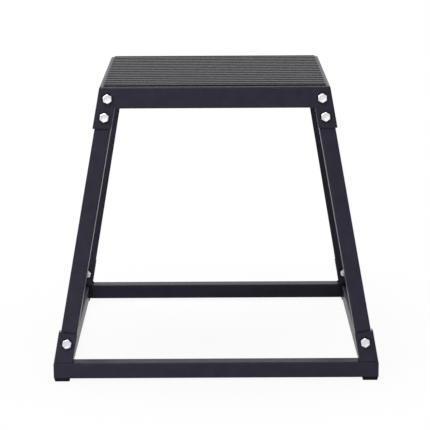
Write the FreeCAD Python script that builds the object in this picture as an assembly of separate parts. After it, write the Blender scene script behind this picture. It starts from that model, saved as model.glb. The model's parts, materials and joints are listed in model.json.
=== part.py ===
import FreeCAD, Part
import math
import os

# Steel plyo box: a ribbed rubber mat on a folded steel tray, four splayed square-tube legs bolted
# into folded corner plates, and a welded square-tube base on rubber feet.
# Millimetres, +Z up, origin on the floor under the middle of the box, front towards -Y.

# Overall sizes
HEIGHT = 457.0              # floor to the top of the mat
TOP_WIDTH = 360.0           # tray, left to right at its top face
TOP_DEPTH = 360.0           # tray, front to rear at its top face
BASE_WIDTH = 510.0          # base frame, left to right
BASE_DEPTH = 510.0          # base frame, front to rear

# Square tube of the legs, the base rails and the deck braces
TUBE = 25.0
TUBE_WALL = 1.5
TUBE_INSIDE_CORNER = 0.5    # inside corner radius

# Folded sheet of the tray, the sockets and the brackets
SHEET = 2.0
BEND_INSIDE = 2.0           # inside radius of every fold

# Tray and its corner sockets
SKIRT_DROP = 33.0           # deck top to the lower edge of the skirts
SOCKET_DROP = 64.0          # deck top to the lower edge of the sockets
BRACE_SPACING = 120.0       # between the middles of the two braces under the deck

# Base brackets
BRACKET_LENGTH = 50.0       # along the leg, from the top of the rails
BRACKET_SETBACK = 0.5       # outside of the brackets, in from the outside of the rails
BRACKET_EDGE = 0.8          # rounding of the lower outer edges, which leaves a groove above the rails
BASE_CORNER = 2.0           # the ground outer corners of the base frame

# Legs in their plates
LEG_SIDE_CLEARANCE = 1.2    # between a leg and the plate beside it
LEG_TOP_CLEARANCE = 3.0     # between a leg and the underside of the deck
PLATE_OVERLAP = 1.4         # corner plates past the inner side of the leg

# Ribbed rubber mat
MAT_THICKNESS = 2.0
MAT_MARGIN = 6.5            # bare strip of deck around the mat
RIB_PITCH = 20.3
GROOVE_WIDTH = 8.2
GROOVE_DEPTH = 1.3

# Rubber feet
FOOT_HEIGHT = 5.0
FOOT_SIZE = 25.0            # across the top
FOOT_TAPER = 1.0            # each side, from top to bottom
FOOT_SETBACK = 0.7          # in from the outside of the rails
FOOT_CORNER = 2.0
FOOT_EDGE = 0.6             # rounding of the lower edges

# Hexagon bolts and nuts
BOLT_DIAMETER = 8.0
HOLE_CLEARANCE = 1.0        # bolt holes over the bolt's diameter
NUT_CLEARANCE = 0.2         # nut bores over the bolt's diameter
HEX_ACROSS_FLATS = 13.0
HEAD_HEIGHT = 5.3
NUT_HEIGHT = 6.5
BOLT_TAIL = 1.5             # thread past the nut
TAIL_CHAMFER = 0.8
HEX_CHAMFER_ANGLE = 30.0    # of the hexagons' rounded-off points
HEX_CHAMFER_CIRCLE = 0.95   # flat end circle over the width across flats
SOCKET_BOLT_DROPS = (16.5, 46.0)   # along the leg, from the deck top
BASE_BOLT_RISE = 33.5       # along the leg, from the top of the rails

# Heights, lean and wall values that follow from the sizes above
DECK_Z = HEIGHT - MAT_THICKNESS
DECK_UNDERSIDE_Z = DECK_Z - SHEET
RAIL_TOP_Z = FOOT_HEIGHT + TUBE
RISE = DECK_Z - RAIL_TOP_Z
LEAN_X = (BASE_WIDTH / 2 - BRACKET_SETBACK - TOP_WIDTH / 2) / RISE
LEAN_Y = (BASE_DEPTH / 2 - BRACKET_SETBACK - TOP_DEPTH / 2) / RISE
COS_X = 1 / math.hypot(1, LEAN_X)
COS_Y = 1 / math.hypot(1, LEAN_Y)
BEND_OUTSIDE = BEND_INSIDE + SHEET
TUBE_CORNER = TUBE_INSIDE_CORNER + TUBE_WALL
LEG_SETBACK = SHEET + LEG_SIDE_CLEARANCE
PLATE_WIDTH = LEG_SETBACK + TUBE + PLATE_OVERLAP
BOLT_LENGTH = SHEET + TUBE + NUT_HEIGHT + BOLT_TAIL
REACH = 2 * (HEIGHT + BASE_WIDTH + BASE_DEPTH)   # longer than anything it cuts

V = FreeCAD.Vector
ORIGIN = V(0, 0, 0)
CORNERS = {
    "front_left": (-1, -1),
    "front_right": (1, -1),
    "rear_left": (-1, 1),
    "rear_right": (1, 1),
}

# Leg coordinates at the rear right corner. X points out of the side, Y square out of the leaning
# rear plane and Z up the leg. Their origin is the sharp outer corner at the top of the deck.
LEG_UP = V(-LEAN_X, -LEAN_Y, 1).normalize()
PLATE_OUT = V(0, 1, LEAN_Y).normalize()
SIDE_OUT = V(1, 0, LEAN_X).normalize()
LEG_SIDE = PLATE_OUT.cross(LEG_UP)
CORNER_FRAME = FreeCAD.Placement(
    V(TOP_WIDTH / 2, TOP_DEPTH / 2, DECK_Z),
    FreeCAD.Rotation(LEG_SIDE, PLATE_OUT, LEG_UP, "ZXY"),
)
RAIL_TOP_ON_LEG = -RISE / LEG_UP.z

# The side plates aren't quite square to the rear ones, so the leg's clearance from its side plate is
# set at the leg's outer corner edge.
SIDE_OFFSET = (LEG_SETBACK - SHEET * SIDE_OUT.dot(PLATE_OUT)) / SIDE_OUT.dot(LEG_SIDE)
LEG_MIDDLE_X = -(SIDE_OFFSET + TUBE / 2)
LEG_MIDDLE_Y = -(SHEET + TUBE / 2)


def half_sizes(z, inset=0.0):
    """Half width and half depth between the leaning outer planes at a height, less a wall."""
    drop = DECK_Z - z
    half_x = TOP_WIDTH / 2 + LEAN_X * drop - inset / COS_X
    half_y = TOP_DEPTH / 2 + LEAN_Y * drop - inset / COS_Y
    return half_x, half_y


def rectangle(x_low, x_high, y_low, y_high, z):
    points = [V(x_low, y_low, z), V(x_high, y_low, z), V(x_high, y_high, z), V(x_low, y_high, z)]
    return Part.makePolygon(points + points[:1])


def frustum(low_z, high_z, inset=0.0):
    """Solid between the four leaning planes, from one height to another."""
    rings = []
    for z in (low_z, high_z):
        half_x, half_y = half_sizes(z, inset)
        rings.append(rectangle(-half_x, half_x, -half_y, half_y, z))
    return Part.makeLoft(rings, True, True)


def rounded(solid, radius, round_top=False):
    """Round the upright edges of a frustum or a block, and its top edges too if asked."""
    box = solid.BoundBox
    middle_z = (box.ZMin + box.ZMax) / 2
    edges = []
    for edge in solid.Edges:
        upright = edge.BoundBox.ZMin < middle_z < edge.BoundBox.ZMax
        top = edge.BoundBox.ZMin > middle_z
        if upright or (top and round_top):
            edges.append(edge)
    return solid.makeFillet(radius, edges)


def slab(low_z, high_z):
    """Wide level block, for trimming a piece at one or two heights."""
    return Part.makeBox(REACH, REACH, high_z - low_z, V(-REACH / 2, -REACH / 2, low_z))


def corner_post(low_z, high_z):
    """Leaning square post around the rear right corner, as wide as a corner plate."""
    rings = []
    for z in (low_z, high_z):
        half_x, half_y = half_sizes(z)
        inner_x = half_x - PLATE_WIDTH
        inner_y = half_y - PLATE_WIDTH
        rings.append(rectangle(inner_x, half_x + PLATE_WIDTH, inner_y, half_y + PLATE_WIDTH, z))
    return Part.makeLoft(rings, True, True)


def in_leg_coordinates(shape):
    """Put a shape that was drawn in leg coordinates at the rear right corner."""
    return shape.transformed(CORNER_FRAME.toMatrix(), True)


def at_corner(shape, corner):
    """Mirror a shape from the rear right corner to another one."""
    side, end = CORNERS[corner]
    if side < 0:
        shape = shape.mirror(ORIGIN, V(1, 0, 0))
    if end < 0:
        shape = shape.mirror(ORIGIN, V(0, 1, 0))
    return shape


def square_tube(length):
    """Hollow square tube along Z, with its middle on the axis and its lower end at zero."""
    bore = TUBE - 2 * TUBE_WALL
    outside = Part.makeBox(TUBE, TUBE, length, V(-TUBE / 2, -TUBE / 2, 0))
    inside = Part.makeBox(bore, bore, length, V(-bore / 2, -bore / 2, 0))
    return rounded(outside, TUBE_CORNER).cut(rounded(inside, TUBE_INSIDE_CORNER))


def bolt_places():
    """Each bolt's place along the leg, top sockets first and base bracket last."""
    return [-drop for drop in SOCKET_BOLT_DROPS] + [RAIL_TOP_ON_LEG + BASE_BOLT_RISE]


def on_bolt_axis(shape, place):
    """Turn a shape drawn along +Z out along a bolt's axis, with zero on the plate's outer face."""
    shape = shape.copy()
    shape.rotate(ORIGIN, V(1, 0, 0), -90)
    shape.translate(V(LEG_MIDDLE_X, 0, place))
    return in_leg_coordinates(shape)


def bolt_holes(depth):
    """Clearance holes for all the bolts of one leg, from outside the plate to a depth."""
    holes = []
    for place in bolt_places():
        radius = (BOLT_DIAMETER + HOLE_CLEARANCE) / 2
        hole = Part.makeCylinder(radius, depth + SHEET, V(0, 0, -depth))
        holes.append(on_bolt_axis(hole, place))
    return holes


def hexagon(height):
    """Hexagonal prism on the XY plane, with a point towards +Y and its upper points rounded off."""
    corner_radius = HEX_ACROSS_FLATS / 2 / math.cos(math.radians(30))
    points = []
    for step in range(7):
        angle = math.radians(90 + 60 * step)
        points.append(V(corner_radius * math.cos(angle), corner_radius * math.sin(angle), 0))
    prism = Part.Face(Part.makePolygon(points)).extrude(V(0, 0, height))
    end_radius = HEX_CHAMFER_CIRCLE * HEX_ACROSS_FLATS / 2
    foot_radius = end_radius + height / math.tan(math.radians(HEX_CHAMFER_ANGLE))
    return prism.common(Part.makeCone(foot_radius, end_radius, height))


def make_bolt():
    """Hexagon bolt along Z, with the underside of its head at zero."""
    radius = BOLT_DIAMETER / 2
    shank = Part.makeCylinder(radius, BOLT_LENGTH - TAIL_CHAMFER, V(0, 0, TAIL_CHAMFER - BOLT_LENGTH))
    tail = Part.makeCone(radius - TAIL_CHAMFER, radius, TAIL_CHAMFER, V(0, 0, -BOLT_LENGTH))
    return hexagon(HEAD_HEIGHT).fuse([shank, tail]).removeSplitter()


def make_nut():
    """Hexagon nut on the inner side of the leg, on the same axis as its bolt."""
    upper = hexagon(NUT_HEIGHT)
    lower = upper.mirror(V(0, 0, NUT_HEIGHT / 2), V(0, 0, 1))
    bore = Part.makeCylinder((BOLT_DIAMETER + NUT_CLEARANCE) / 2, NUT_HEIGHT)
    nut = upper.common(lower).cut(bore)
    nut.translate(V(0, 0, -(SHEET + TUBE + NUT_HEIGHT)))
    return nut


def plate_space(low_z, high_z):
    """What a corner plate takes up, rear right, from its inner faces outwards."""
    inside = rounded(frustum(low_z - SHEET, high_z + SHEET, SHEET), BEND_INSIDE)
    return corner_post(low_z - SHEET, high_z + SHEET).cut(inside)


def make_socket():
    """Folded corner plate of the tray, rear right: it rises to the deck's top edge."""
    low_z = DECK_Z - SOCKET_DROP
    outside = rounded(frustum(low_z, DECK_Z), BEND_OUTSIDE, round_top=True)
    plates = outside.common(plate_space(low_z, DECK_Z))
    return plates.cut(bolt_holes(SHEET + LEG_SIDE_CLEARANCE))


def make_bracket():
    """Folded corner plate of the base, rear right: it stands on the rails, cut square to the leg."""
    high_z = RAIL_TOP_Z + BRACKET_LENGTH
    outside = rounded(frustum(RAIL_TOP_Z, high_z), BEND_OUTSIDE)
    lower_edges = [edge for edge in outside.Edges if edge.BoundBox.ZMax < RAIL_TOP_Z + BRACKET_EDGE]
    outside = outside.makeFillet(BRACKET_EDGE, lower_edges)
    plates = outside.common(plate_space(RAIL_TOP_Z, high_z))
    top = RAIL_TOP_ON_LEG + BRACKET_LENGTH
    above = in_leg_coordinates(slab(top, top + REACH))
    return plates.cut([above] + bolt_holes(SHEET + LEG_SIDE_CLEARANCE))


def make_leg():
    """Rear right leg: flat against the rear plates, level at both ends, drilled for its bolts."""
    tube = square_tube(REACH)
    tube.translate(V(LEG_MIDDLE_X, LEG_MIDDLE_Y, -REACH / 2))
    tube = in_leg_coordinates(tube)
    tube = tube.common(slab(RAIL_TOP_Z, DECK_UNDERSIDE_Z - LEG_TOP_CLEARANCE))
    return tube.cut(bolt_holes(2 * SHEET + TUBE))


def make_tray():
    """Deck and its four folded skirts in one sheet, notched at the corners for the sockets."""
    low_z = DECK_Z - SKIRT_DROP
    outside = rounded(frustum(low_z, DECK_Z), BEND_OUTSIDE, round_top=True)
    notch = plate_space(low_z, DECK_Z)
    notches = [at_corner(notch, corner) for corner in CORNERS]
    return outside.cut([tray_hollow(low_z - SHEET)] + notches)


def tray_hollow(low_z):
    """The space under the deck and between the skirts."""
    return rounded(frustum(low_z, DECK_UNDERSIDE_Z, SHEET), BEND_INSIDE, round_top=True)


def make_brace():
    """Right deck brace: a tube under the deck, its ends cut to the slope of the skirts."""
    tube = square_tube(REACH)
    tube.translate(V(0, 0, -REACH / 2))
    tube.rotate(ORIGIN, V(1, 0, 0), 90)
    tube.translate(V(BRACE_SPACING / 2, 0, DECK_UNDERSIDE_Z - TUBE / 2))
    return tube.common(tray_hollow(DECK_UNDERSIDE_Z - TUBE - SHEET))


def make_rail(length, spread):
    """Base rail along X on the rear side, mitred to its neighbours."""
    tube = square_tube(length)
    tube.translate(V(0, 0, -length / 2))
    tube.rotate(ORIGIN, V(0, 1, 0), 90)
    tube.translate(V(0, spread / 2 - TUBE / 2, FOOT_HEIGHT + TUBE / 2))
    block = Part.makeBox(length, spread, TUBE, V(-length / 2, -spread / 2, FOOT_HEIGHT))
    inner_x = length / 2 - TUBE
    inner_y = spread / 2 - TUBE
    outline = [
        V(-length / 2, spread / 2, FOOT_HEIGHT),
        V(length / 2, spread / 2, FOOT_HEIGHT),
        V(inner_x, inner_y, FOOT_HEIGHT),
        V(-inner_x, inner_y, FOOT_HEIGHT),
    ]
    mitre = Part.Face(Part.makePolygon(outline + outline[:1])).extrude(V(0, 0, TUBE))
    return tube.common(mitre).common(rounded(block, BASE_CORNER))


def make_foot():
    """Rubber pad under the rear right corner of the base, drawn in towards the floor."""
    bottom = FOOT_SIZE / 2 - FOOT_TAPER
    rings = [
        rectangle(-bottom, bottom, -bottom, bottom, 0),
        rectangle(-FOOT_SIZE / 2, FOOT_SIZE / 2, -FOOT_SIZE / 2, FOOT_SIZE / 2, FOOT_HEIGHT),
    ]
    pad = rounded(Part.makeLoft(rings, True, True), FOOT_CORNER)
    pad = pad.makeFillet(FOOT_EDGE, [edge for edge in pad.Edges if edge.BoundBox.ZMax < FOOT_EDGE])
    middle = FOOT_SETBACK + FOOT_SIZE / 2
    pad.translate(V(BASE_WIDTH / 2 - middle, BASE_DEPTH / 2 - middle, 0))
    return pad


def make_mat():
    """Rubber sheet glued on the deck, with grooves that run from left to right."""
    width = TOP_WIDTH - 2 * MAT_MARGIN
    depth = TOP_DEPTH - 2 * MAT_MARGIN
    mat = Part.makeBox(width, depth, MAT_THICKNESS, V(-width / 2, -depth / 2, DECK_Z))
    count = int(depth // RIB_PITCH)
    first = -(count - 1) * RIB_PITCH / 2
    grooves = []
    for step in range(count):
        low_y = first + step * RIB_PITCH - GROOVE_WIDTH / 2
        corner = V(-width, low_y, HEIGHT - GROOVE_DEPTH)
        grooves.append(Part.makeBox(2 * width, GROOVE_WIDTH, 2 * GROOVE_DEPTH, corner))
    return mat.cut(grooves)


def make_parts():
    """Every node's shape, by name."""
    parts = {"rubber_mat": make_mat(), "deck_tray": make_tray()}

    socket = make_socket()
    bracket = make_bracket()
    leg = make_leg()
    foot = make_foot()
    for corner in CORNERS:
        parts["socket_" + corner] = at_corner(socket, corner)
        parts["leg_" + corner] = at_corner(leg, corner)
        parts["bracket_" + corner] = at_corner(bracket, corner)
        parts["foot_" + corner] = at_corner(foot, corner)

    brace = make_brace()
    parts["deck_brace_right"] = brace
    parts["deck_brace_left"] = brace.mirror(ORIGIN, V(1, 0, 0))

    long_rail = make_rail(BASE_WIDTH, BASE_DEPTH)
    parts["rail_rear"] = long_rail
    parts["rail_front"] = long_rail.mirror(ORIGIN, V(0, 1, 0))
    side_rail = make_rail(BASE_DEPTH, BASE_WIDTH)
    side_rail.rotate(ORIGIN, V(0, 0, 1), -90)
    parts["rail_right"] = side_rail
    parts["rail_left"] = side_rail.mirror(ORIGIN, V(1, 0, 0))

    for name, shape in (("bolts", make_bolt()), ("nuts", make_nut())):
        placed = [on_bolt_axis(shape, place) for place in bolt_places()]
        for group, members in (("socket_", placed[:-1]), ("base_", placed[-1:])):
            solids = [at_corner(member, corner) for corner in CORNERS for member in members]
            parts[group + name] = Part.makeCompound(solids)
    return parts


os.makedirs("parts", exist_ok=True)
for node, shape in make_parts().items():
    shape.exportStep(os.path.join("parts", node + ".step"))
    state = "valid" if shape.isValid() else "NOT VALID"
    print(f"{node}: {len(shape.Solids)} solids, {shape.Volume / 1000:.2f} cm3, {state}")
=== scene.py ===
import json
import math

import bmesh
import bpy
from mathutils import Matrix, Vector


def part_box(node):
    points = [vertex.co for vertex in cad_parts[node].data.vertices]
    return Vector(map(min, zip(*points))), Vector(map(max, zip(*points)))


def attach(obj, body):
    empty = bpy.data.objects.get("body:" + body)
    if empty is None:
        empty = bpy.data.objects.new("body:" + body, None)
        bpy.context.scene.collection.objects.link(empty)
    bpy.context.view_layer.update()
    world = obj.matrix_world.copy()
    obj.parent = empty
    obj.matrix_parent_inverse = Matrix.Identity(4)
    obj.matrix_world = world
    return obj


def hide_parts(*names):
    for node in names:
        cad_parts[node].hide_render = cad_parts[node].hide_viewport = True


# Steel plyo box with a ribbed rubber top, in a white studio.
# Metres, +Z up, front towards -Y, as in the frame.

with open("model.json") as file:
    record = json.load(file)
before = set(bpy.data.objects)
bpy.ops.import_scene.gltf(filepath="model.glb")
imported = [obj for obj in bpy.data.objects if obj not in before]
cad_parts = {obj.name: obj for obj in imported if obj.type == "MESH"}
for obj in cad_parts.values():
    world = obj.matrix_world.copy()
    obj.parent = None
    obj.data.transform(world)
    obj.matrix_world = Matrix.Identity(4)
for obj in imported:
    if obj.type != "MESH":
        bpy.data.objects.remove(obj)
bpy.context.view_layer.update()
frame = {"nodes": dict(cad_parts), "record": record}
nodes = frame["nodes"]
# Side and end of each corner
CORNERS = {"front_left": (-1, -1), "front_right": (1, -1), "rear_left": (-1, 1), "rear_right": (1, 1)}

# Camera, as fitted to the photograph's edges
CAMERA_PLACE = Vector((-0.0006, -3.0286, 0.8784))
CAMERA_PITCH = math.radians(12.432)     # below level
CAMERA_ROLL = math.radians(0.28)        # the picture's right side is this much higher
CAMERA_LENS = 154.6                     # mm, on the sensor below
CAMERA_SENSOR = 36.0

# Lights
WORLD_FILL = 0.08                       # what the white surroundings give to matt surfaces
GLOW_NEAR = 0.93                        # share of the floor's white that takes no shadow, by the box
GLOW_NEAR_REACH = 0.30                  # from the middle of the box
GLOW_FULL_REACH = 0.60                  # where the floor is plain white
FLOOR_SIZE = 24.0
FLOOR_COLOUR = (0.55, 0.55, 0.55, 1.0)
COOL_WHITE = (0.93, 0.915, 1.0)
NEUTRAL_WHITE = (1.0, 1.0, 1.0)
LAMPS = {
    # "shows" says whether gloss shows the lamp
    "overhead_softbox": {
        "place": (-1.0, -1.8, 2.45), "aim": (0.0, 0.0, 0.25), "size": (2.0, 1.4),
        "power": 80.0, "colour": NEUTRAL_WHITE, "shows": True,
    },
    "top_softbox": {
        "place": (0.0, 0.55, 2.3), "aim": (0.0, 0.0, 0.45), "size": (1.6, 0.9),
        "power": 65.0, "colour": COOL_WHITE, "shows": True,
    },
    "front_reflector": {
        "place": (-1.2, -4.2, 1.3), "aim": (0.0, 0.0, 0.25), "size": (4.0, 3.0),
        "power": 26.0, "colour": NEUTRAL_WHITE, "shows": False,
    },
    "low_reflector": {
        "place": (-0.3, -1.1, 0.035), "aim": (0.0, -0.2, 0.06), "size": (1.8, 0.05),
        "power": 6.5, "colour": NEUTRAL_WHITE, "shows": False,
    },
}

# Finishes
TEXTURE_LOW = 0.3                       # noise up to this gives the dark or low end
TEXTURE_HIGH = 0.7                      # noise from this on gives the light or high end
# Painted shade in the powder coat: its colour darkens where a joint or a corner closes round it
PAINTED_SHADE_REACH = 0.006                   # how far a joint or a corner paints shade on the coat beside it
PAINTED_SHADE_DARKEST = 0.5                      # openness at which the painted shade is darkest
PAINTED_SHADE_CLEAR = 0.95                    # openness at which no shade is painted
PAINTED_SHADE_COLOUR = (0.1, 0.1, 0.1)         # what is left of the colour under the darkest painted shade
PAINTED_SHADE_SAMPLES = 8

# M8 hexagon bolts and nuts
ACROSS_FLATS = 0.013
HEX_ROUNDING = 40                       # the higher, the sharper the hexagon's corners
HEX_CHAMFER = math.radians(30)
END_CIRCLE = 0.95                       # flat end of a hexagon, over its width across flats
HEAD_HEIGHT = 0.0053
HEAD_UNDERSIDE = 0.97                   # its width over the head's
WASHER_FACE = (0.0058, 0.0003)          # radius and height under a bolt's head
DISH = ((0.0051, 0.0), (0.0044, 0.00035), (0.0022, 0.00042))   # radius and depth in a bolt's head
BOLT_RADIUS = 0.004
THREAD_ROOT = 0.0033                    # radius
THREAD_PITCH = 0.00125
THREAD_ROOT_FLAT = 0.25                 # of the pitch
THREAD_FLANKS = 0.625                   # both together, of the pitch
THREAD_STEPS = 8                        # rings to a pitch
THREAD_LENGTH = 0.010
TAIL_CHAMFER = 0.0008
NUT_BORE = 0.0041                       # radius, as in the frame
NUT_SINK = 0.0004                       # chamfer of the nut's bore
ROUND = 72                              # points round a bolt or a nut
HEAD_TURNS = (4, 0, -10, 2, 7, -12, 14, -4)     # degrees, front to rear, upper to lower, left to right
BASE_HEAD_TURNS = (-15, 5, 9, -6)
NUT_TURNS = (11, -7, 3, 18, -14, 6, -2, 21)
BASE_NUT_TURNS = (-3, 12, 16, -9)

# Ribbed mat
RIB_EDGE = 0.0004                       # rounding of the ribs and of the grooves' floors
RIB_EDGE_STEPS = 4                      # faces in such a rounding

# Sheet and welds
SHEET = 0.002
BEAD_STEP = 0.0005                      # between the rings of a bead
BEAD_RIPPLE = 0.0024                    # from one ripple to the next
BEAD_RIPPLE_DEPTH = 0.16                # of the bead's radius
BEAD_CURVE = 0.7                        # how far the ripples bow along the bead, over its radius
BEAD_ROUND = 16                         # points round a bead
TACK_RADIUS = 0.0017
TACK_LENGTH = 0.0055
TACK_OFFSET = TACK_RADIUS / 2           # from the plate's end, and from its outer face
MITRE_RADIUS = 0.0022
MITRE_OFFSET = MITRE_RADIUS / 3         # from the corner
MITRE_END_GAP = MITRE_RADIUS / 2        # from the rail's top and underside
STITCH_RADIUS = 0.0018
STITCH_LENGTH = 0.025
STITCH_END_LENGTH = STITCH_LENGTH * 2 / 3       # under a brace's end
STITCH_OFFSET = STITCH_RADIUS / 4       # from the brace's side, end or underside
STITCH_DROP = STITCH_RADIUS / 2         # from the deck
STITCH_PLACES = (-0.12, 0.0, 0.12)      # along a brace
SEAM_RADIUS = 0.0011
SEAM_TOP_GAP = 3 * SHEET                # from the deck's top

SHARP_EDGE = math.radians(32)           # edges that turn by more than this stay sharp
TOUCH = 0.00002                         # points closer than this are the same point


def new_material(name):
    """A material, its node tree and its shader."""
    material = bpy.data.materials.new(name)
    material.use_nodes = True
    tree = material.node_tree
    return material, tree, tree.nodes["Principled BSDF"]


def noise(tree, scale, detail=2.0, roughness=0.5):
    """Noise in the part's own coordinates; the scale is in features to the metre."""
    texture = tree.nodes.new("ShaderNodeTexNoise")
    texture.inputs["Scale"].default_value = scale
    texture.inputs["Detail"].default_value = detail
    texture.inputs["Roughness"].default_value = roughness
    place = tree.nodes.new("ShaderNodeTexCoord")
    tree.links.new(place.outputs["Object"], texture.inputs["Vector"])
    return texture.outputs["Fac"]


def between(tree, factor, low, high):
    """A value that follows a texture from a low end to a high end."""
    span = tree.nodes.new("ShaderNodeMapRange")
    span.inputs["From Min"].default_value = TEXTURE_LOW
    span.inputs["From Max"].default_value = TEXTURE_HIGH
    span.inputs["To Min"].default_value = low
    span.inputs["To Max"].default_value = high
    tree.links.new(factor, span.inputs["Value"])
    return span.outputs["Result"]


def colours(tree, factor, dark, light, low=TEXTURE_LOW, high=TEXTURE_HIGH):
    """A colour that follows a texture from a dark one to a light one."""
    ramp = tree.nodes.new("ShaderNodeValToRGB")
    ramp.color_ramp.elements[0].position = low
    ramp.color_ramp.elements[0].color = (*dark, 1.0)
    ramp.color_ramp.elements[1].position = high
    ramp.color_ramp.elements[1].color = (*light, 1.0)
    tree.links.new(factor, ramp.inputs["Fac"])
    return ramp.outputs["Color"]


def bump(tree, height, depth, under=None):
    """A bump of a depth in metres, on top of another one if given."""
    node = tree.nodes.new("ShaderNodeBump")
    node.inputs["Strength"].default_value = 1.0
    node.inputs["Distance"].default_value = depth
    tree.links.new(height, node.inputs["Height"])
    if under:
        tree.links.new(under, node.inputs["Normal"])
    return node.outputs["Normal"]


def painted_crevice_shade(tree, colour):
    """A colour with painted shade, darker in joints and tight corners."""
    openness = tree.nodes.new("ShaderNodeAmbientOcclusion")
    openness.samples = PAINTED_SHADE_SAMPLES
    openness.inputs["Distance"].default_value = PAINTED_SHADE_REACH
    mix = tree.nodes.new("ShaderNodeMix")
    mix.data_type = "RGBA"
    mix.blend_type = "MULTIPLY"
    mix.inputs["Factor"].default_value = 1.0
    tree.links.new(colour, mix.inputs["A"])
    open_shade = (1.0, 1.0, 1.0)
    share = colours(tree, openness.outputs["AO"], PAINTED_SHADE_COLOUR, open_shade, PAINTED_SHADE_DARKEST, PAINTED_SHADE_CLEAR)
    tree.links.new(share, mix.inputs["B"])
    return mix.outputs["Result"]


def powder_coat():
    """Satin black powder coat: fine orange peel, faint mottling, uneven gloss, painted shade in joints.
    """
    material, tree, shader = new_material("powder_coat")
    links = tree.links
    mottle = noise(tree, scale=55.0, detail=3.0)
    coat = colours(tree, mottle, dark=(0.0150, 0.0140, 0.0225), light=(0.0185, 0.0175, 0.0270))
    # painted shade: the coat's colour darkens in joints and tight corners
    links.new(painted_crevice_shade(tree, coat), shader.inputs["Base Color"])
    gloss = between(tree, noise(tree, scale=160.0), low=0.30, high=0.37)
    links.new(gloss, shader.inputs["Roughness"])
    peel = bump(tree, noise(tree, scale=700.0, detail=1.0), depth=0.000025)
    skin_grain = bump(tree, noise(tree, scale=2600.0), depth=0.00001, under=peel)
    links.new(skin_grain, shader.inputs["Normal"])
    shader.inputs["Specular IOR Level"].default_value = 0.08
    return material


def mat_rubber():
    """Rubber sheet with a faint sheen: fine grain and a little dust in its colour."""
    material, tree, shader = new_material("mat_rubber")
    links = tree.links
    dust = noise(tree, scale=420.0, detail=4.0)
    rubber = colours(tree, dust, dark=(0.0030, 0.0024, 0.0062), light=(0.0054, 0.0047, 0.0090))
    links.new(rubber, shader.inputs["Base Color"])
    gloss = between(tree, noise(tree, scale=90.0), low=0.30, high=0.35)
    links.new(gloss, shader.inputs["Roughness"])
    grain = bump(tree, noise(tree, scale=1500.0, detail=3.0, roughness=0.7), depth=0.000012)
    links.new(grain, shader.inputs["Normal"])
    shader.inputs["Specular IOR Level"].default_value = 0.065
    return material


def foot_rubber():
    """Moulded black rubber: deep black, dull and finely textured."""
    material, tree, shader = new_material("foot_rubber")
    links = tree.links
    shade = noise(tree, scale=300.0)
    rubber = colours(tree, shade, dark=(0.004, 0.004, 0.004), light=(0.008, 0.008, 0.008))
    links.new(rubber, shader.inputs["Base Color"])
    gloss = between(tree, noise(tree, scale=200.0), low=0.7, high=0.85)
    links.new(gloss, shader.inputs["Roughness"])
    grain = bump(tree, noise(tree, scale=1800.0, detail=3.0), depth=0.00005)
    links.new(grain, shader.inputs["Normal"])
    shader.inputs["Specular IOR Level"].default_value = 0.08
    return material


def zinc_steel():
    """Bright zinc plate: slightly clouded, with a faint blue cast and a fine forged skin."""
    material, tree, shader = new_material("zinc_steel")
    links = tree.links
    clouds = noise(tree, scale=260.0, detail=3.0)
    zinc = colours(tree, clouds, dark=(0.615, 0.625, 0.66), light=(0.73, 0.74, 0.765))
    links.new(zinc, shader.inputs["Base Color"])
    gloss = between(tree, noise(tree, scale=500.0, detail=3.0), low=0.26, high=0.40)
    links.new(gloss, shader.inputs["Roughness"])
    forged = bump(tree, noise(tree, scale=1300.0, detail=3.0), depth=0.00003)
    links.new(forged, shader.inputs["Normal"])
    shader.inputs["Metallic"].default_value = 1.0
    return material


def dress_frame():
    """Each CAD node gets its slot's finish."""
    finishes = {
        "powder_coat": powder_coat(),
        "mat_rubber": mat_rubber(),
        "foot_rubber": foot_rubber(),
        "zinc_steel": zinc_steel(),
    }
    for part in frame["record"]["subparts"]:
        for slot in nodes[part["node"]].material_slots:
            slot.material = finishes[part["material_slot"]]
    return finishes


def white_rays(tree):
    """1 for rays that show the surroundings: straight from the camera, mirrored or through glass."""
    rays = tree.nodes.new("ShaderNodeLightPath")
    total = rays.outputs["Is Camera Ray"]
    for name in ("Is Glossy Ray", "Is Transmission Ray"):
        larger = tree.nodes.new("ShaderNodeMath")
        larger.operation = "MAXIMUM"
        tree.links.new(total, larger.inputs[0])
        tree.links.new(rays.outputs[name], larger.inputs[1])
        total = larger.outputs["Value"]
    return total


def light_world():
    """White all round to look at, and a soft fill on matt surfaces."""
    world = bpy.data.worlds.new("white_surroundings")
    bpy.context.scene.world = world
    world.use_nodes = True
    tree = world.node_tree
    tree.nodes.clear()
    fill = tree.nodes.new("ShaderNodeBackground")
    fill.inputs["Strength"].default_value = WORLD_FILL
    white = tree.nodes.new("ShaderNodeBackground")
    for background in (fill, white):
        background.inputs["Color"].default_value = (1.0, 1.0, 1.0, 1.0)
    white.inputs["Strength"].default_value = 1.0
    choice = tree.nodes.new("ShaderNodeMixShader")
    tree.links.new(white_rays(tree), choice.inputs["Fac"])
    tree.links.new(fill.outputs["Background"], choice.inputs[1])
    tree.links.new(white.outputs["Background"], choice.inputs[2])
    output = tree.nodes.new("ShaderNodeOutputWorld")
    tree.links.new(choice.outputs["Shader"], output.inputs["Surface"])


def floor_glow(tree):
    """Share of plain white in what is seen of the floor: less round the box, where its shadow lies."""
    links = tree.links
    place = tree.nodes.new("ShaderNodeTexCoord")
    reach = tree.nodes.new("ShaderNodeVectorMath")
    reach.operation = "LENGTH"
    links.new(place.outputs["Object"], reach.inputs[0])
    span = tree.nodes.new("ShaderNodeMapRange")
    span.inputs["From Min"].default_value = GLOW_NEAR_REACH
    span.inputs["From Max"].default_value = GLOW_FULL_REACH
    span.inputs["To Min"].default_value = GLOW_NEAR
    span.inputs["To Max"].default_value = 1.0
    links.new(reach.outputs["Value"], span.inputs["Value"])
    share = tree.nodes.new("ShaderNodeMath")
    share.operation = "MULTIPLY"
    links.new(white_rays(tree), share.inputs[0])
    links.new(span.outputs["Result"], share.inputs[1])
    return share.outputs["Value"]


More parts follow.
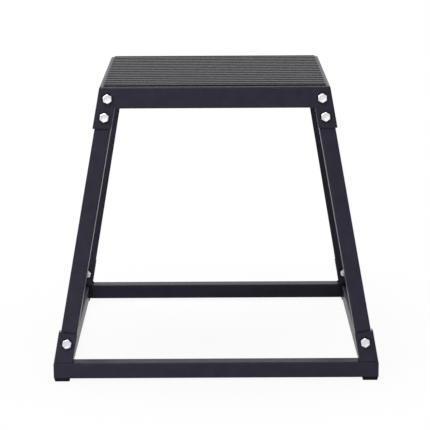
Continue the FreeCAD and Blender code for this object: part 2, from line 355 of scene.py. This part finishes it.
def floor_material():
    """White floor that keeps a light shadow. From below it can be looked through."""
    material = bpy.data.materials.new("white_floor")
    material.use_nodes = True
    tree = material.node_tree
    tree.nodes.clear()
    links = tree.links
    matt = tree.nodes.new("ShaderNodeBsdfDiffuse")
    matt.inputs["Color"].default_value = FLOOR_COLOUR
    glow = tree.nodes.new("ShaderNodeEmission")
    top = tree.nodes.new("ShaderNodeMixShader")
    links.new(floor_glow(tree), top.inputs["Fac"])
    links.new(matt.outputs["BSDF"], top.inputs[1])
    links.new(glow.outputs["Emission"], top.inputs[2])
    side = tree.nodes.new("ShaderNodeNewGeometry")
    clear = tree.nodes.new("ShaderNodeBsdfTransparent")
    both = tree.nodes.new("ShaderNodeMixShader")
    links.new(side.outputs["Backfacing"], both.inputs["Fac"])
    links.new(top.outputs["Shader"], both.inputs[1])
    links.new(clear.outputs["BSDF"], both.inputs[2])
    output = tree.nodes.new("ShaderNodeOutputMaterial")
    links.new(both.outputs["Shader"], output.inputs["Surface"])
    return material


def new_object(name, mesh):
    made = bpy.data.objects.new(name, mesh)
    bpy.context.scene.collection.objects.link(made)
    return made


def skin(mesh, rings, loop=False):
    """Add a closed surface through rings of points: capped at both ends, or run back into itself."""
    rows = [[mesh.verts.new(point) for point in ring] for ring in rings]
    pairs = list(zip(rows, rows[1:]))
    if loop:
        pairs.append((rows[-1], rows[0]))
    else:
        mesh.faces.new(list(reversed(rows[0])))
        mesh.faces.new(rows[-1])
    for lower, upper in pairs:
        for step, point in enumerate(lower):
            following = (step + 1) % len(lower)
            mesh.faces.new((point, lower[following], upper[following], upper[step]))


def make_piece(name, mesh, material, node=None):
    """An object on the box, smooth but for its sharp edges, in place of a CAD node if one is named."""
    bmesh.ops.recalc_face_normals(mesh, faces=mesh.faces)
    data = bpy.data.meshes.new(name)
    mesh.to_mesh(data)
    mesh.free()
    data.polygons.foreach_set("use_smooth", [True] * len(data.polygons))
    data.set_sharp_from_angle(angle=SHARP_EDGE)
    data.materials.append(material)
    piece = new_object(name, data)
    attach(piece, "root")
    if node:
        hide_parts(node)


def solids_of(node):
    """The points of each solid in a CAD node: front ones first, then upper ones, then from the left."""
    mesh = bmesh.new()
    mesh.from_mesh(nodes[node].data)
    bmesh.ops.remove_doubles(mesh, verts=mesh.verts, dist=TOUCH)
    left = set(mesh.verts)
    found = []
    while left:
        group = [left.pop()]
        for vertex in group:
            for edge in vertex.link_edges:
                other = edge.other_vert(vertex)
                if other in left:
                    left.remove(other)
                    group.append(other)
        found.append([vertex.co.copy() for vertex in group])
    mesh.free()

    def place(points):
        middle = sum(points, Vector()) / len(points)
        return middle.y > 0, -round(middle.z, 2), middle.x

    return sorted(found, key=place)


def middle_of(points):
    """The middle of the box round some points."""
    low = Vector(min(point[axis] for point in points) for axis in range(3))
    high = Vector(max(point[axis] for point in points) for axis in range(3))
    return (low + high) / 2


def plate_lean():
    """How far the corner plates lean inwards on each metre up, from two bolts of one leg."""
    upper = middle_of(solids_of("socket_bolts")[0])
    lower = middle_of(solids_of("base_bolts")[0])
    return (upper.y - lower.y) / (upper.z - lower.z)


def fastener_places(node, turns):
    """Where each bolt or nut of a CAD node sits: its inner end, +Z out of the plate, and its length."""
    places = []
    for points, turn in zip(solids_of(node), turns):
        end = math.copysign(1.0, points[0].y)
        out = Vector((0.0, end, LEAN)).normalized()
        across = Vector((-end, 0.0, 0.0))
        axes = Matrix((across, out.cross(across), out))
        local = [axes @ point for point in points]
        low = Vector(min(point[axis] for point in local) for axis in range(3))
        high = Vector(max(point[axis] for point in local) for axis in range(3))
        inner_end = axes.transposed() @ Vector(((low.x + high.x) / 2, (low.y + high.y) / 2, low.z))
        matrix = Matrix.Translation(inner_end) @ axes.transposed().to_4x4()
        places.append((matrix @ Matrix.Rotation(math.radians(turn), 4, "Z"), high.z - low.z))
    return places


def ring(radius, height):
    """Points round the Z axis; the radius and the height are numbers or follow the angle."""
    points = []
    for step in range(ROUND):
        angle = math.tau * step / ROUND
        far = radius(angle) if callable(radius) else radius
        level = height(angle) if callable(height) else height
        points.append(Vector((far * math.cos(angle), far * math.sin(angle), level)))
    return points


def hexagon(angle):
    """Radius of a hexagon with slightly rounded corners."""
    flats = (math.cos(angle - math.radians(turn)) for turn in (0, 60, 120))
    return ACROSS_FLATS / 2 / sum(abs(flat) ** HEX_ROUNDING for flat in flats) ** (1 / HEX_ROUNDING)


def chamfer_drop(angle):
    """How far below its end face a hexagon's side starts, cut by the chamfer cone."""
    return max(0.0, hexagon(angle) - END_CIRCLE * ACROSS_FLATS / 2) * math.tan(HEX_CHAMFER)


def thread_radius(along, angle):
    """Radius of an M8 thread at a place along the bolt, with its chamfered end and its run-out."""
    turn = (along / THREAD_PITCH - angle / math.tau) % 1.0
    crest = min(1.0, max(0.0, (abs(2 * turn - 1) - THREAD_ROOT_FLAT) / THREAD_FLANKS))
    fade = min(1.0, max(0.0, (THREAD_LENGTH - along) / THREAD_PITCH))
    radius = BOLT_RADIUS - (BOLT_RADIUS - THREAD_ROOT) * (1 - crest) * fade
    return min(radius, BOLT_RADIUS - TAIL_CHAMFER + along)


def bolt_rings(length):
    """A hexagon bolt from its tail to the dish in its head."""
    steps = round(THREAD_STEPS * THREAD_LENGTH / THREAD_PITCH)
    rings = []
    for step in range(steps + 1):
        along = THREAD_LENGTH * step / steps
        rings.append(ring(lambda angle: thread_radius(along, angle), along))
    under = length - HEAD_HEIGHT
    washer_radius, washer_height = WASHER_FACE
    rings.append(ring(BOLT_RADIUS, under))
    rings.append(ring(washer_radius, under))
    rings.append(ring(washer_radius, under + washer_height))
    rings.append(ring(lambda angle: HEAD_UNDERSIDE * hexagon(angle), under + washer_height))
    rings.append(ring(hexagon, under + 2 * washer_height))
    rings.append(ring(hexagon, lambda angle: length - chamfer_drop(angle)))
    rings.append(ring(END_CIRCLE * ACROSS_FLATS / 2, length))
    for radius, depth in DISH:
        rings.append(ring(radius, length - depth))
    return rings


def nut_rings(height):
    """A hexagon nut, chamfered at both ends and round the ends of its bore."""
    circle = END_CIRCLE * ACROSS_FLATS / 2
    return [
        ring(NUT_BORE, NUT_SINK),
        ring(NUT_BORE + NUT_SINK, 0.0),
        ring(circle, 0.0),
        ring(hexagon, chamfer_drop),
        ring(hexagon, lambda angle: height - chamfer_drop(angle)),
        ring(circle, height),
        ring(NUT_BORE + NUT_SINK, height),
        ring(NUT_BORE, height - NUT_SINK),
    ]


def make_fasteners(material):
    """Every bolt and nut as its own piece, each turned a little differently."""
    kinds = {
        "socket_bolts": (bolt_rings, HEAD_TURNS),
        "base_bolts": (bolt_rings, BASE_HEAD_TURNS),
        "socket_nuts": (nut_rings, NUT_TURNS),
        "base_nuts": (nut_rings, BASE_NUT_TURNS),
    }
    for node, (rings, turns) in kinds.items():
        for number, (matrix, length) in enumerate(fastener_places(node, turns), 1):
            mesh = bmesh.new()
            skin(mesh, rings(length), loop=rings is nut_rings)
            mesh.transform(matrix)
            make_piece(f"{node[:-1]}_{number}", mesh, material, node)


def soften(path, radius, steps):
    """The same open path of square corners with each inner corner rounded."""
    softened = path[:1]
    for before, corner, after in zip(path, path[1:], path[2:]):
        start = corner + (before - corner).normalized() * radius
        end = corner + (after - corner).normalized() * radius
        middle = start + end - corner
        for step in range(steps + 1):
            angle = math.pi / 2 * step / steps
            softened.append(
                middle + (start - middle) * math.cos(angle) + (end - middle) * math.sin(angle)
            )
    return softened + path[-1:]


def mat_profile():
    """The mat's outline from the side, as (y, z), with the ribs where the CAD mat has them."""
    low, high = (Vector(corner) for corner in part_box("rubber_mat"))
    points = [vertex.co for vertex in nodes["rubber_mat"].data.vertices]
    rib_edges = sorted({round(point.y, 5) for point in points if point.z > high.z - TOUCH})
    groove_floor = max(point.z for point in points if point.z < high.z - TOUCH)
    path = [Vector((low.y, low.z))]
    for rear, (start, end) in enumerate(zip(rib_edges[0::2], rib_edges[1::2])):
        if rear:
            path.append(Vector((start, groove_floor)))
        path += [Vector((start, high.z)), Vector((end, high.z))]
        if end < high.y - TOUCH:
            path.append(Vector((end, groove_floor)))
    path.append(Vector((high.y, low.z)))
    return soften(path, RIB_EDGE, RIB_EDGE_STEPS)


def make_mat(material):
    """Ribbed rubber sheet, its ribs and grooves softly rounded."""
    low, high = (Vector(corner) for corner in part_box("rubber_mat"))
    profile = mat_profile()
    mesh = bmesh.new()
    skin(mesh, [[Vector((x, y, z)) for y, z in profile] for x in (low.x, high.x)])
    make_piece("ribbed_mat", mesh, material, "rubber_mat")


def bead_rings(start, end, out, radius):
    """A weld bead from one point to another: bowed ripples, and round ends. Its face points out."""
    run = end - start
    along = run.normalized()
    out = (out - along * out.dot(along)).normalized()
    across = along.cross(out)
    count = round(run.length / BEAD_STEP)
    rings = []
    for step in range(1, count):
        place = run.length * step / count
        to_end = min(1.0, place / radius, (run.length - place) / radius)
        end_round = math.sqrt(to_end * (2 - to_end))
        points = []
        for turn in range(BEAD_ROUND):
            angle = math.tau * turn / BEAD_ROUND
            bow = BEAD_CURVE * radius * math.sin(angle) ** 2
            ripple = abs(math.sin(math.pi * (place + bow) / BEAD_RIPPLE))
            far = radius * end_round * (1 - BEAD_RIPPLE_DEPTH * (1 - ripple))
            spoke = out * math.cos(angle) + across * math.sin(angle)
            points.append(start + along * place + spoke * far)
        rings.append(points)
    return rings


def make_welds(name, beads, material):
    """One piece of several beads, each given by its ends, the way it faces and its radius."""
    mesh = bmesh.new()
    for start, end, out, radius in beads:
        skin(mesh, bead_rings(Vector(start), Vector(end), Vector(out), radius))
    make_piece(name, mesh, material)


def bracket_tacks():
    """Short welds on the rails, at the inner ends of each bracket's two plates."""
    low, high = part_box("bracket_rear_right")
    points = [vertex.co for vertex in nodes["bracket_rear_right"].data.vertices]
    plate_end = min(point.x for point in points if point.z < low[2] + TOUCH) - TACK_OFFSET
    face = high[1] - TACK_OFFSET
    beads = []
    for side, end in CORNERS.values():
        for flip in (False, True):
            places = [(plate_end, face - run) for run in (0.0, TACK_LENGTH)]
            out = (-1.0, 0.0)
            if flip:
                places = [place[::-1] for place in places]
                out = out[::-1]
            ends = [(side * x, end * y, low[2]) for x, y in places]
            beads.append((*ends, (side * out[0], end * out[1], 1.0), TACK_RADIUS))
    return beads


def mitre_welds():
    """Upright welds in the inner corners of the base frame."""
    low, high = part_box("rail_rear")
    inner = low[1] - MITRE_OFFSET
    return [
        ((side * inner, end * inner, low[2] + MITRE_END_GAP),
         (side * inner, end * inner, high[2] - MITRE_END_GAP),
         (-side, -end, 0.0), MITRE_RADIUS)
        for side, end in CORNERS.values()
    ]


def brace_stitches():
    """Short welds that hold the braces: along the deck on both sides, and under their ends."""
    beads = []
    for node in ("deck_brace_left", "deck_brace_right"):
        low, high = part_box(node)
        for side, face in ((-1, low[0]), (1, high[0])):
            x = face + side * STITCH_OFFSET
            z = high[2] - STITCH_DROP
            for y in STITCH_PLACES:
                ends = [(x, y + turn * STITCH_LENGTH / 2, z) for turn in (-1, 1)]
                beads.append((*ends, (side, 0.0, -1.0), STITCH_RADIUS))
        middle = (low[0] + high[0]) / 2
        for end in (-1, 1):
            y = end * (high[1] - STITCH_OFFSET)
            z = low[2] - STITCH_OFFSET
            ends = [(middle + turn * STITCH_END_LENGTH / 2, y, z) for turn in (-1, 1)]
            beads.append((*ends, (0.0, -end, -1.0), STITCH_RADIUS))
    return beads


def socket_seams():
    """Welds inside the tray, where the skirts meet the sockets."""
    low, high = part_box("socket_rear_right")
    tray_low, tray_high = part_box("deck_tray")
    points = [vertex.co for vertex in nodes["socket_rear_right"].data.vertices]
    plate_width = high[0] - min(point.x for point in points if point.z < low[2] + TOUCH)
    wall = SHEET * math.hypot(1.0, LEAN)
    heights = (tray_low[2] + SEAM_RADIUS, tray_high[2] - SEAM_TOP_GAP)
    beads = []
    for side, end in CORNERS.values():
        for flip in (False, True):
            ends = []
            for z in heights:
                half = high[0] - LEAN * (z - low[2])
                place = (half - plate_width, half - wall)
                x, y = place[::-1] if flip else place
                ends.append((side * x, end * y, z))
            out = (-side, 0.0, 0.0) if flip else (0.0, -end, 0.0)
            beads.append((*ends, out, SEAM_RADIUS))
    return beads


def make_floor():
    half = FLOOR_SIZE / 2
    mesh = bpy.data.meshes.new("floor")
    corners = [(-half, -half, 0.0), (half, -half, 0.0), (half, half, 0.0), (-half, half, 0.0)]
    mesh.from_pydata(corners, [], [(0, 1, 2, 3)])
    mesh.materials.append(floor_material())
    new_object("floor", mesh)


def make_lamps():
    for name, settings in LAMPS.items():
        light = bpy.data.lights.new(name, "AREA")
        light.shape = "RECTANGLE"
        light.size, light.size_y = settings["size"]
        light.energy = settings["power"]
        light.color = settings["colour"]
        lamp = new_object(name, light)
        lamp.location = settings["place"]
        lamp.visible_camera = False
        lamp.visible_glossy = settings["shows"]
        ray = Vector(settings["aim"]) - Vector(settings["place"])
        lamp.rotation_euler = ray.to_track_quat("-Z", "Y").to_euler()


def make_camera():
    camera = new_object("camera", bpy.data.cameras.new("camera"))
    camera.data.lens = CAMERA_LENS
    camera.data.sensor_width = CAMERA_SENSOR
    camera.location = CAMERA_PLACE
    pitch = Matrix.Rotation(math.pi / 2 - CAMERA_PITCH, 3, "X")
    camera.rotation_euler = (pitch @ Matrix.Rotation(-CAMERA_ROLL, 3, "Z")).to_euler()
    bpy.context.scene.camera = camera


LEAN = plate_lean()
finishes = dress_frame()
make_mat(finishes["mat_rubber"])
make_fasteners(finishes["zinc_steel"])
make_welds("bracket_tacks", bracket_tacks(), finishes["powder_coat"])
make_welds("mitre_welds", mitre_welds(), finishes["powder_coat"])
make_welds("brace_stitches", brace_stitches(), finishes["powder_coat"])
make_welds("socket_seams", socket_seams(), finishes["powder_coat"])
make_floor()
light_world()
make_lamps()
make_camera()
bpy.context.scene.view_settings.view_transform = "Standard"
